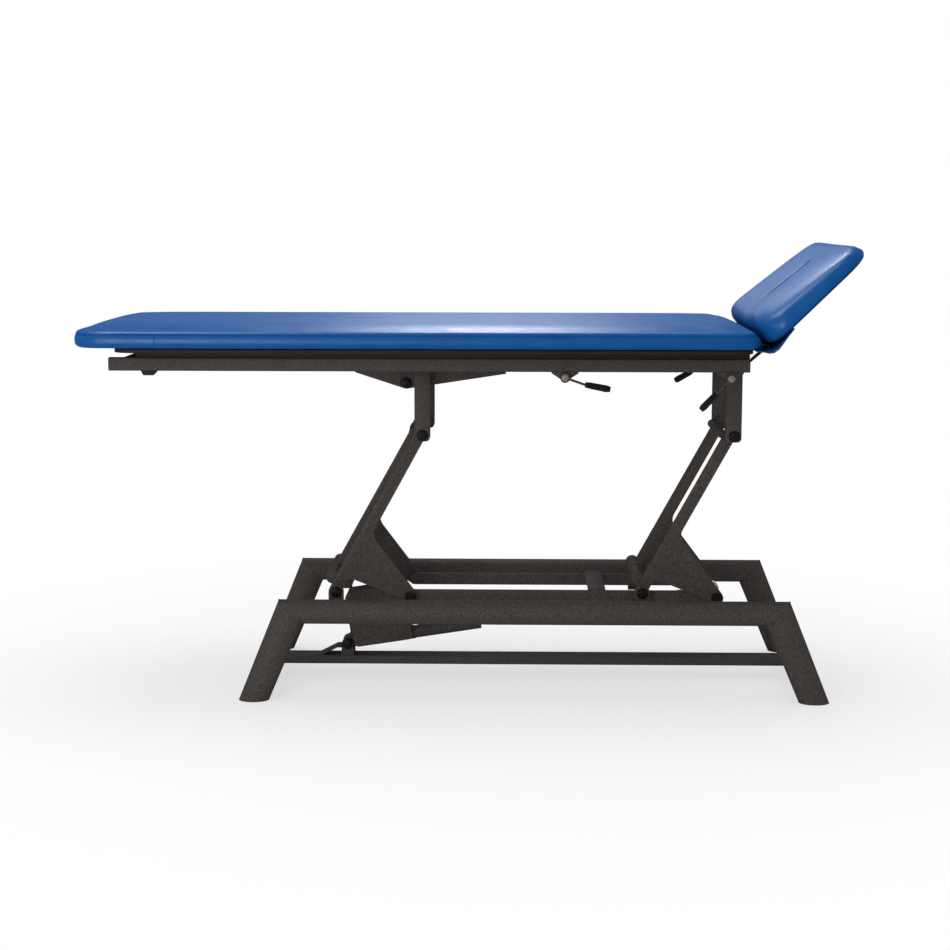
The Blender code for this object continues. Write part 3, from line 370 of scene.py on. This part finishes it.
for name, centre, face, body, turn in (
        ("bolt_lower_left", lift_at, ear_face, "base", 8),
        ("bolt_lower_right", right_at, ear_face, "base", 23),
        ("bolt_upper_left", level_at, post_face, "upper_frame", 15),
        ("bolt_upper_right", level_at + right_at - lift_at, post_face, "upper_frame", 40),
        ("bolt_crank_left", joint_at["tie_swing"], crank_face, "tie", 31),
        ("bolt_crank_right", joint_at["rod_swing"], crank_face, "arm_right", 12),
        ("bolt_clevis", joint_at["actuator_swing"], clevis_face, "base", 19),
        ("bolt_wedge", wedge_bolt_at, wedge_face, "upper_frame", 27)):
    for sign, word in ((-1, "near"), (1, "far")):
        seat = Matrix.Translation((centre.x, sign * face, centre.z))
        outward = Matrix.Rotation(sign * -math.pi / 2, 4, "X")
        head = placed_copy(bolt_master, f"{name}_{word}",
                           seat @ outward @ Matrix.Rotation(math.radians(turn), 4, "Z"))
        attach(head, body)
bpy.data.objects.remove(bolt_master)
finished_copy("crank_shaft", black_oxide)

# Actuator: cast housing and guide tube with a collar where they meet, coated, and a bare steel
# push rod that slides in the tube. The rod's eye turns on the crank shaft.
finished_copy("actuator_housing", charcoal, edge=0.0015)
finished_copy("actuator_tube", charcoal)
collar_radius, collar_long, collar_along = 0.0178, 0.022, 0.1645
rear = joint_at["actuator_swing"]
rod_run = joint_at["rod_swing"] - rear
collar = eased_disc(48, collar_radius, collar_long, centre=0, ease=0.0012)
collar.name = "actuator_collar"
collar.data.transform(Matrix.Translation(rear + rod_run.normalized() * collar_along)
                      @ rod_run.to_track_quat("Z", "Y").to_matrix().to_4x4())
bpy.ops.object.shade_smooth_by_angle(angle=turned_angle)
collar.data.materials.append(charcoal)
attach(collar, "actuator")
bare_steel, tree, shader, place = textured("bare_steel", 0.32, metallic=0.9)
two_tone(tree, shader, speckle(tree, place, 120, 4), (0.30, 0.285, 0.27), (0.44, 0.42, 0.40))
tree.links.new(spread_of(tree, speckle(tree, place, 60, 3), 0.26, 0.40), shader.inputs["Roughness"])
relief(tree, shader, speckle(tree, place, 900, 2), strength=0.1, depth=0.0002)
finished_copy("push_rod", bare_steel)

# Upper frame: rectangular steel tubes and square posts, welded and coated with the base,
# rubber bumpers under the foot end and black hinge ironwork at the head end.
for node in ("frame_rail_near", "frame_rail_far", "frame_crossbar_foot", "frame_crossbar_left",
             "frame_crossbar_right", "post_near_left", "post_near_right", "post_far_left", "post_far_right",
             "wedge_bracket_near", "wedge_bracket_far", "tilt_lever_bracket", "head_lever_near_bracket",
             "head_lever_far_bracket"):
    finished_copy(node, charcoal, edge=0.0008)
black_rubber, tree, shader, place = textured("black_rubber", 0.62, specular=0.06)
two_tone(tree, shader, speckle(tree, place, 200, 3), (0.008, 0.008, 0.008), (0.018, 0.017, 0.017))
relief(tree, shader, speckle(tree, place, 1400, 2), strength=0.3, depth=0.0003)
for node in ("bumper_near", "bumper_far"):
    finished_copy(node, black_rubber, edge=0.0012)
for node in ("hinge_bracket_near", "hinge_bracket_far", "head_hinge_bar"):
    finished_copy(node, black_oxide, edge=0.0006)

# Boards and spacer strips: plywood in a dark brown tone, darkened further toward black as painted shade for
# the deep shadow under the cushions, screwed to the frame and to the hinge bar, with the plies showing at the
# cut edges.
plywood, tree, shader, place = textured("plywood_with_painted_shade", 0.7, specular=0.06)
layers = tree.nodes.new("ShaderNodeTexWave")
layers.bands_direction = "Z"
layers.inputs["Scale"].default_value = 160
layers.inputs["Distortion"].default_value = 1.5
layers.inputs["Detail"].default_value = 3
tree.links.new(place, layers.inputs["Vector"])
two_tone(tree, shader, layers.outputs["Fac"], (0.010, 0.008, 0.006), (0.027, 0.021, 0.017),
         low=0.2, high=0.8)
relief(tree, shader, layers.outputs["Fac"], strength=0.2, depth=0.0003)
for node in ("spacer_strip_near", "spacer_strip_far", "top_board", "head_board"):
    finished_copy(node, plywood, edge=0.0008)

# Release levers: bent wire arms with a turned boss in the frame's coat, held by a bare pin head,
# and black fluted grips pushed on their ends.
grip_plastic, tree, shader, place = textured("grip_plastic", 0.48, specular=0.05)
two_tone(tree, shader, speckle(tree, place, 400, 3), (0.006, 0.006, 0.006), (0.014, 0.0135, 0.013))
relief(tree, shader, speckle(tree, place, 1600, 2), strength=0.2, depth=0.0002)
dull_steel, tree, shader, place = textured("dull_steel", 0.5, metallic=0.15, specular=0.08)
two_tone(tree, shader, speckle(tree, place, 500, 3), (0.120, 0.098, 0.078), (0.220, 0.180, 0.145))
relief(tree, shader, speckle(tree, place, 1200, 2), strength=0.15, depth=0.0002)
cap_radius, cap_deep, cap_sunk = 0.0082, 0.0040, 0.0014
cap_master = eased_disc(32, cap_radius, cap_deep, centre=-cap_sunk, ease=0.0004)
bpy.ops.object.shade_smooth_by_angle(angle=turned_angle)
cap_master.data.materials.append(dull_steel)
bar_radius, grip_from = 0.0074, 0.0024
grip_radius, grip_swell, grip_round, grip_neck = 0.0076, 0.0012, 0.0024, 0.0010
flutes, flute_deep = 14, 0.0011
neck_to, flutes_from, round_from, flutes_to = 0.06, 0.10, 0.9, 0.92
for name, wire, tip in (("tilt_lever", (0.046, -0.016), (0.109, -0.028)),
                        ("head_lever_near", (-0.034, -0.036), (-0.072, -0.076)),
                        ("head_lever_far", (-0.042, -0.024), (-0.090, -0.051))):
    boss = joint_at[f"{name}_pull"]
    sign = 1 if boss.y > 0 else -1
    finished_copy(f"{name}_arm", charcoal, edge=0.0006)
    pin_low, pin_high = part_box(f"{name}_bracket")
    pin_at = (boss.x, pin_high.y if sign > 0 else pin_low.y, boss.z)
    cap = placed_copy(cap_master, f"{name}_pin_cap",
                      Matrix.Translation(pin_at) @ Matrix.Rotation(sign * -math.pi / 2, 4, "X"))
    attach(cap, "upper_frame")
    start = boss + Vector((wire[0], 0, wire[1]))
    run = Vector((tip[0] - wire[0], 0, tip[1] - wire[1]))
    grip_long = run.length - grip_from
    bpy.ops.object.select_all(action="DESELECT")
    bpy.ops.mesh.primitive_cylinder_add(vertices=2 * flutes, radius=bar_radius, depth=grip_long)
    grip = bpy.context.active_object
    grip.name = f"{name}_fluted_grip"
    bpy.ops.object.mode_set(mode="EDIT")
    bpy.ops.mesh.select_all(action="SELECT")
    bpy.ops.mesh.subdivide(number_cuts=5)
    bpy.ops.object.mode_set(mode="OBJECT")
    for vertex in grip.data.vertices:
        share = vertex.co.z / grip_long + 0.5
        radius = grip_radius + grip_swell * share
        if share > round_from:
            radius -= grip_round * ((share - round_from) / (1 - round_from)) ** 2
        if share < neck_to:
            radius -= grip_neck
        turn = math.atan2(vertex.co.y, vertex.co.x)
        flute = 0.5 - 0.5 * math.cos(flutes * turn) if flutes_from < share < flutes_to else 0.0
        out = math.hypot(vertex.co.x, vertex.co.y) / bar_radius * (radius - flute_deep * flute)
        vertex.co = Vector((math.cos(turn) * out, math.sin(turn) * out, vertex.co.z))
    grip.data.transform(Matrix.Translation(start + run * 0.5 + run.normalized() * grip_from / 2)
                        @ run.to_track_quat("Z", "Y").to_matrix().to_4x4())
    bpy.ops.object.shade_smooth_by_angle(angle=math.radians(50))
    grip.data.materials.append(grip_plastic)
    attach(grip, name)
    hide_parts(f"{name}_grip")
bpy.data.objects.remove(cap_master)

# Main cushion: foam on the board under blue vinyl, a slightly crowned top panel sewn to a boxed
# side band. The seam runs round at one height, and the band is joined near the foot end.
vinyl_gloss = 0.13


def vinyl(name, own, marks):
    """Blue vinyl with a fine grain. Marks are seam and slit lines in the piece's own frame, darkened with
    less gloss
    as painted shade in their creases: axis, position, half width, depth of tone and the limits of the line
    along other axes."""
    material, tree, shader, place = textured(name, 0.38, specular=0.0, coat=vinyl_gloss)
    local = tree.nodes.new("ShaderNodeMapping")
    local.vector_type = "TEXTURE"
    local.inputs["Location"].default_value = own.to_translation()
    local.inputs["Rotation"].default_value = own.to_euler()
    tree.links.new(place, local.inputs["Vector"])
    split = tree.nodes.new("ShaderNodeSeparateXYZ")
    tree.links.new(local.outputs["Vector"], split.inputs["Vector"])

    def maths(operation, *values):
        """Math node on numbers and sockets."""
        step = tree.nodes.new("ShaderNodeMath")
        step.operation = operation
        for socket, value in zip(step.inputs, values):
            if isinstance(value, float):
                socket.default_value = value
            else:
                tree.links.new(value, socket)
        return step.outputs[0]

    crease_shade = None
    for axis, position, width, tone, limits in marks:
        off = maths("ABSOLUTE", maths("SUBTRACT", split.outputs[axis], position))
        line = maths("SUBTRACT", tone, maths("MINIMUM", maths("MULTIPLY", off, tone / width), tone))
        for other, middle, half in limits:
            line = maths("MULTIPLY", line, maths("COMPARE", split.outputs[other], middle, half))
        crease_shade = line if crease_shade is None else maths("MAXIMUM", crease_shade, line)
    shade = ramp(tree, speckle(tree, place, 14, 3),
                 [(0.3, (0.0028, 0.070, 0.252)), (0.7, (0.0038, 0.082, 0.288))])
    grain = tree.nodes.new("ShaderNodeTexVoronoi")
    grain.inputs["Scale"].default_value = 700
    tree.links.new(place, grain.inputs["Vector"])
    pebbles = relief(tree, shader, grain.outputs["Distance"], strength=0.08, depth=0.0003)
    tree.links.new(spread_of(tree, speckle(tree, place, 30, 3), 0.34, 0.42), shader.inputs["Coat Roughness"])
    # Painted shade in the seam creases and the slit: a darker tone, less gloss and a sunk bump along each
    # mark.
    if crease_shade is not None:
        dark = tree.nodes.new("ShaderNodeMix")
        dark.data_type = "RGBA"
        factor, plain, crease_dark = dark.inputs[0], dark.inputs[6], dark.inputs[7]
        crease_dark.default_value = (0.0015, 0.020, 0.080, 1)
        tree.links.new(shade, plain)
        tree.links.new(crease_shade, factor)
        shade = dark.outputs[2]
        gloss = maths("MULTIPLY", maths("SUBTRACT", 1.0, crease_shade), vinyl_gloss)
        tree.links.new(gloss, shader.inputs["Coat Weight"])
        groove = tree.nodes.new("ShaderNodeBump")
        groove.invert = True
        groove.inputs["Strength"].default_value = 0.7
        groove.inputs["Distance"].default_value = 0.0012
        tree.links.new(crease_shade, groove.inputs["Height"])
        tree.links.new(groove.outputs["Normal"], pebbles.inputs["Normal"])
    tree.links.new(shade, shader.inputs["Base Color"])
    return material


def smoothed(piece, rounds, group=""):
    """Even out the skin of the active piece, all over or in one vertex group."""
    even = piece.modifiers.new("even_skin", "SMOOTH")
    even.factor = 0.5
    even.iterations = rounds
    even.vertex_group = group
    bpy.ops.object.modifier_apply(modifier=even.name)


def stuffed(node, name, voxel, own, seam, crown_rounds, shape=None, carve=None):
    """Cushion grown from its solid: shrunk, remeshed, blown up as cloth on a seat that stays flat, its crown
    laid anew if a shape is given, the rest kept near the solid's skin, then drawn in at the seam's height in
    its own frame and carved."""
    shrunk, seat_high, blow_frames, most_swell = 0.0016, 0.004, 20, 0.005
    rim_high, steep, slack, last_rounds = (0.029, 0.3, 0.012, 20) if shape else (0.036, 0.6, 0.0, 8)
    crown_skin, side_skin = (-0.0050, 0.0015), (-0.0022, -0.0003)
    seam_draw, seam_width, seam_reach, side_lean = 0.0022, 0.0040, 0.012, 0.85
    piece = merged_copy(node, name)
    bpy.ops.object.mode_set(mode="OBJECT")
    skin = BVHTree.FromPolygons([v.co.copy() for v in piece.data.vertices],
                                [p.vertices[:] for p in piece.data.polygons])
    bpy.ops.object.mode_set(mode="EDIT")
    bpy.ops.transform.shrink_fatten(value=-shrunk)
    bpy.ops.object.mode_set(mode="OBJECT")
    grid = piece.modifiers.new("even_cells", "REMESH")
    grid.mode = "VOXEL"
    grid.voxel_size = voxel
    bpy.ops.object.modifier_apply(modifier=grid.name)
    inward = own.inverted()
    seat = min((inward @ v.co).z for v in piece.data.vertices) + seat_high
    start = [v.co.copy() for v in piece.data.vertices]
    held = piece.vertex_groups.new(name="seat")
    held.add([v.index for v in piece.data.vertices if (inward @ v.co).z < seat], 1.0, "REPLACE")
    cloth = piece.modifiers.new("blown_up", "CLOTH")
    cloth.settings.quality = 5
    cloth.settings.mass = 0.15
    cloth.settings.tension_stiffness = 25
    cloth.settings.compression_stiffness = 25
    cloth.settings.shear_stiffness = 10
    cloth.settings.bending_stiffness = 2
    cloth.settings.use_pressure = True
    cloth.settings.uniform_pressure_force = 4
    cloth.settings.vertex_group_mass = "seat"
    cloth.settings.effector_weights.gravity = 0
    for step in range(1, blow_frames + 1):
        scene.frame_set(step)
    bpy.ops.object.modifier_apply(modifier=cloth.name)
    scene.frame_set(1)
    for vertex, was in zip(piece.data.vertices, start):
        move = vertex.co - was
        if move.length > most_swell:
            vertex.co = was + move.normalized() * most_swell
    piece.vertex_groups.clear()
    if shape:
        for vertex in piece.data.vertices:
            vertex.co = own @ shape(inward @ vertex.co)
    rim = seat + rim_high
    crown = piece.vertex_groups.new(name="crown")
    crown.add([v.index for v in piece.data.vertices
               if (inward @ v.co).z > rim and (inward.to_3x3() @ v.normal).z > steep], 1.0, "REPLACE")
    smoothed(piece, 4)
    smoothed(piece, crown_rounds, "crown")
    piece.vertex_groups.clear()
    fine = piece.modifiers.new("fine_skin", "SUBSURF")
    fine.levels = 1
    fine.render_levels = 1
    bpy.ops.object.modifier_apply(modifier=fine.name)
    for vertex in piece.data.vertices:
        spot, normal, _, _ = skin.find_nearest(vertex.co)
        away = vertex.co - spot
        depth = math.copysign(away.length, away.dot(normal))
        crowned = (inward @ vertex.co).z > rim - slack
        deep, proud = crown_skin if crowned else side_skin
        if not deep < depth < proud and not (crowned and shape):
            vertex.co = spot + normal * max(deep, min(proud, depth))
    smoothed(piece, last_rounds)
    leans = [inward.to_3x3() @ v.normal for v in piece.data.vertices]
    for vertex, lean in zip(piece.data.vertices, leans):
        spot = inward @ vertex.co
        off = spot.z - seam
        if abs(off) < seam_reach and lean.z < side_lean:
            draw = seam_draw * math.exp(-(off / seam_width) ** 2)
            spot = spot - Vector((lean.x, lean.y, 0)) * draw
        if carve:
            spot = spot - Vector((0, 0, carve(spot)))
        vertex.co = own @ spot
    bpy.ops.object.shade_smooth()
    piece.data.materials.clear()
    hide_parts(node)
    return piece


main_cell, band_high = 0.010, 0.034
band_join, near_side = -0.740, 0.1
pad_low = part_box("main_pad")[0]
pad_seam = pad_low.z + band_high
level_frame = Matrix.Identity(4)
main_cushion = stuffed("main_pad", "main_cushion", main_cell, level_frame, pad_seam, crown_rounds=12)
# The seam round the cushion and the band's joint near the foot end are real; their dark lines are painted
# shade in the creases.
main_cushion.data.materials.append(vinyl("blue_vinyl_main", level_frame, [
    ("Z", pad_seam, 0.0030, 0.45, []),
    ("X", band_join, 0.0020, 0.6, [("Z", pad_low.z, band_high), ("Y", pad_low.y, near_side)])]))
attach(main_cushion, "upper_frame")

# Head cushion: the same make on its own board, tilted about the hinge. Its crown is thick at the
# hinge and thin at the top end, with a broad shallow hollow and a closed face slit pressed into it.
head_tilt = math.radians(44.5)
head_cell, head_seam_high, head_side_high = 0.007, 0.006, 0.034
head_middle, head_reach, head_half, head_corner = 0.166, 0.158, 0.343, 0.070
crown_from, crown_high, crown_thins, shoulder = 0.033, 0.0332, 0.0200, 0.016
hinge_edge, top_edge, side_edge, fullness = 10, 4, 6, 0.65
hollow_share, hollow_half = 0.26, 0.22
slit_middle, slit_reach, slit_mark, slit_from = 0.1675, 0.0825, 0.074, 0.040
dent_deep, dent_wide = 0.003, 0.030
fold_deep, fold_wide = 0.011, 0.0110
hinge_at = joint_at["head_tilt"]
head_frame = Matrix.Translation(hinge_at) @ Matrix.Rotation(-head_tilt, 4, "Y")
head_base = pad_low.z - hinge_at.z
head_seam = head_base + head_seam_high


def flatter(spot):
    """Crown laid anew: thick at the hinge, thin at the top end, with round shoulders and a shallow hollow."""
    along = (spot.x - head_middle) / head_reach
    fall = 1 - min(1.0, abs(along)) ** (hinge_edge if along < 0 else top_edge)
    fall *= 1 - min(1.0, abs(spot.y) / head_half) ** side_edge
    past = Vector((max(0.0, abs(spot.x - head_middle) - (head_reach - head_corner)),
                   max(0.0, abs(spot.y) - (head_half - head_corner))))
    fall *= max(0.0, min(1.0, (head_corner - past.length) / shoulder))
    if spot.z > head_base + crown_from and fall > 0:
        hollow = hollow_share * max(0.0, 1 - (spot.y / hollow_half) ** 2) ** 2
        rise = (crown_high - crown_thins * along) * fall ** fullness * (1 - hollow)
        spot.z = head_base + head_side_high + rise
    return spot


def face_slit(spot):
    """Depth of the slit: a shallow dent and a narrow fold along its middle, both deepest half-way."""
    reach = (spot.x - slit_middle) / slit_reach
    if abs(reach) >= 1 or spot.z < head_base + slit_from:
        return 0.0
    dent = dent_deep * math.exp(-(spot.y / dent_wide) ** 2)
    fold = fold_deep * math.exp(-(spot.y / fold_wide) ** 2)
    return (1 - reach ** 4) * (dent + fold)


head_cushion = stuffed("head_pad", "head_cushion", head_cell, head_frame, head_seam, crown_rounds=25,
                       shape=flatter, carve=face_slit)
# The seam at the bottom edge is real, its dark line painted shade under the edge; the dark line of the face
# slit is painted shade in the slit.
head_cushion.data.materials.append(vinyl("blue_vinyl_head", head_frame, [
    ("Z", head_seam, 0.0030, 0.8, []),
    ("Y", 0.0060, 0.0140, 1.0, [("X", slit_middle, slit_mark), ("Z", head_base + 0.14, 0.10)])]))
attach(head_cushion, "head")

# Hinge flap: a strip of the same vinyl, stapled under the main cushion and to the head board, that
# hides the gap under the hinge.
flap = merged_copy("hinge_flap", "hinge_flap_vinyl")
bpy.ops.mesh.tris_convert_to_quads()
bpy.ops.mesh.subdivide(number_cuts=3, smoothness=0.0)
bpy.ops.object.mode_set(mode="OBJECT")
bpy.ops.object.shade_smooth_by_angle(angle=math.radians(60))
flap.data.materials.clear()
flap.data.materials.append(vinyl("blue_vinyl_flap", level_frame, []))
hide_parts("hinge_flap")
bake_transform(flap)
